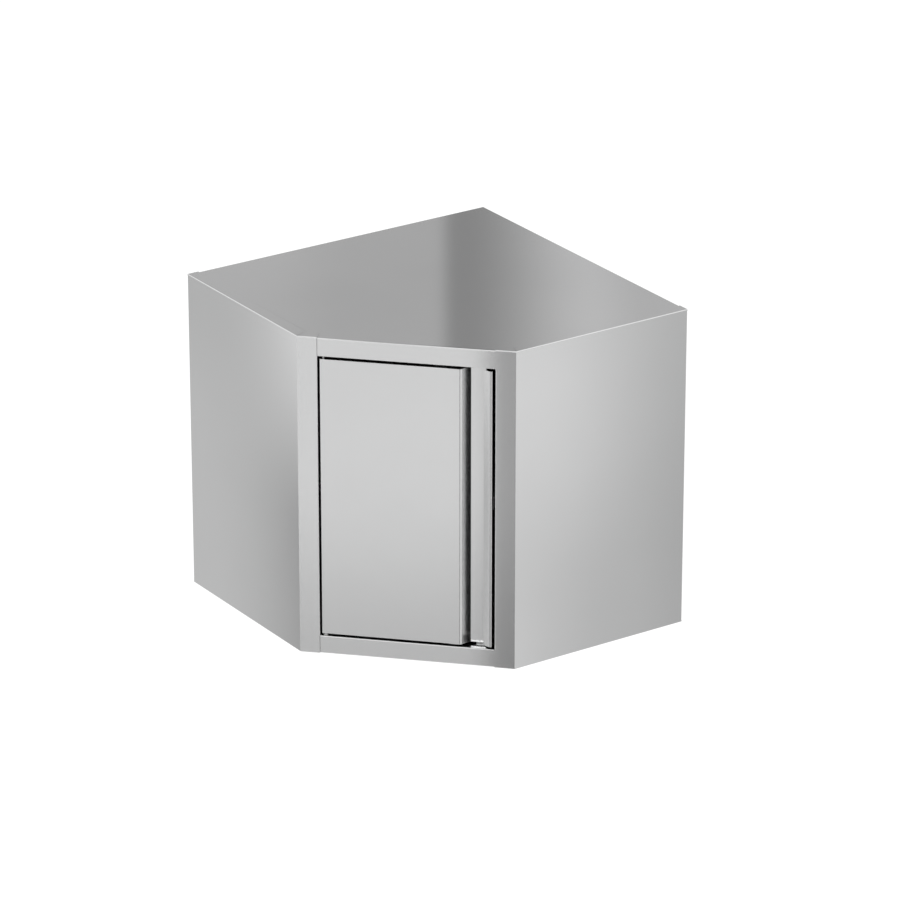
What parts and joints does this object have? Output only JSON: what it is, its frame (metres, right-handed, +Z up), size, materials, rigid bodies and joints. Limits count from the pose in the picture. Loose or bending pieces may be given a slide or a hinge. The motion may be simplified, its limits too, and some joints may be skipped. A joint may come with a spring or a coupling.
{
  "type": "corner wall cabinet",
  "caption": "Hanging corner cupboard of folded stainless sheet, five-sided in plan, with a sprung-pin inset door across its diagonal front and a loose shelf inside.",
  "frame": {"origin": "centre of the bounding box at the level of the cabinet's lowest faces", "axes": "+Z up; the left wall's side is the plane x = -0.35, the right wall's side is y = +0.35, so the room's corner is towards -X and +Y; the door's diagonal front faces +X and -Y"},
  "size_m": [0.7, 0.7, 0.66],
  "materials": {
    "stainless": "fine satin grain",
    "pivot_steel": "turned, smooth",
    "spring_steel": "smooth",
    "zinc_plate": "zinc plated",
    "magnet": "sintered, dark",
    "nylon": "smooth, natural white",
    "catch_plastic": "fine texture, grey",
    "rubber": "matt, black",
    "core_board": "pressed fibre"
  },
  "bodies": {
    "carcass": {"left_side_panel": "stainless", "right_side_panel": "stainless", "left_back_panel": "stainless", "right_back_panel": "stainless", "top_panel": "stainless", "bottom_panel": "stainless", "left_upper_fixing_plate": "stainless", "left_lower_fixing_plate": "stainless", "right_upper_fixing_plate": "stainless", "right_lower_fixing_plate": "stainless", "left_side_upright": "stainless", "left_wall_upright": "stainless", "right_wall_upright": "stainless", "right_side_upright": "stainless", "shelf_clips": "spring_steel", "upper_hinge_plate": "stainless", "lower_hinge_plate": "stainless", "upper_pivot_bush": "nylon", "lower_pivot_bush": "nylon", "lower_pivot_spacer": "pivot_steel", "catch_housing": "catch_plastic", "catch_magnet": "magnet", "catch_pole_plates": "zinc_plate", "catch_screws": "zinc_plate", "door_stop_angle": "stainless", "door_stop_buffer": "rubber"},
    "shelf_tray": {"shelf": "stainless", "shelf_stiffener": "stainless"},
    "door": {"door_outer_skin": "stainless", "door_inner_skin": "stainless", "door_core": "core_board", "upper_hinge_block": "pivot_steel", "lower_hinge_block": "pivot_steel", "lower_pivot_pin": "pivot_steel", "strike_plate": "zinc_plate", "strike_screws": "zinc_plate"},
    "sprung_pin": {"upper_pivot_pin": "pivot_steel", "pin_release_tab": "pivot_steel", "pin_spring": "spring_steel"}
  },
  "joints": [
    {"name": "door_hinge", "type": "hinge", "parent": "carcass", "child": "door", "pos_m": [0.08019, -0.3092, 0.33], "axis": [0, 0, -1], "range_deg": [0, 104]},
    {"name": "shelf_lift", "type": "slide", "parent": "carcass", "child": "shelf_tray", "axis": [0, 0, 1], "range_m": [0, 0.15]},
    {"name": "upper_pin_slide", "type": "slide", "parent": "door", "child": "sprung_pin", "axis": [0, 0, -1], "range_m": [0, 0.009], "stiffness_N_per_m": 400, "springref_m": -0.012, "deforming": ["pin_spring"]}
  ]
}
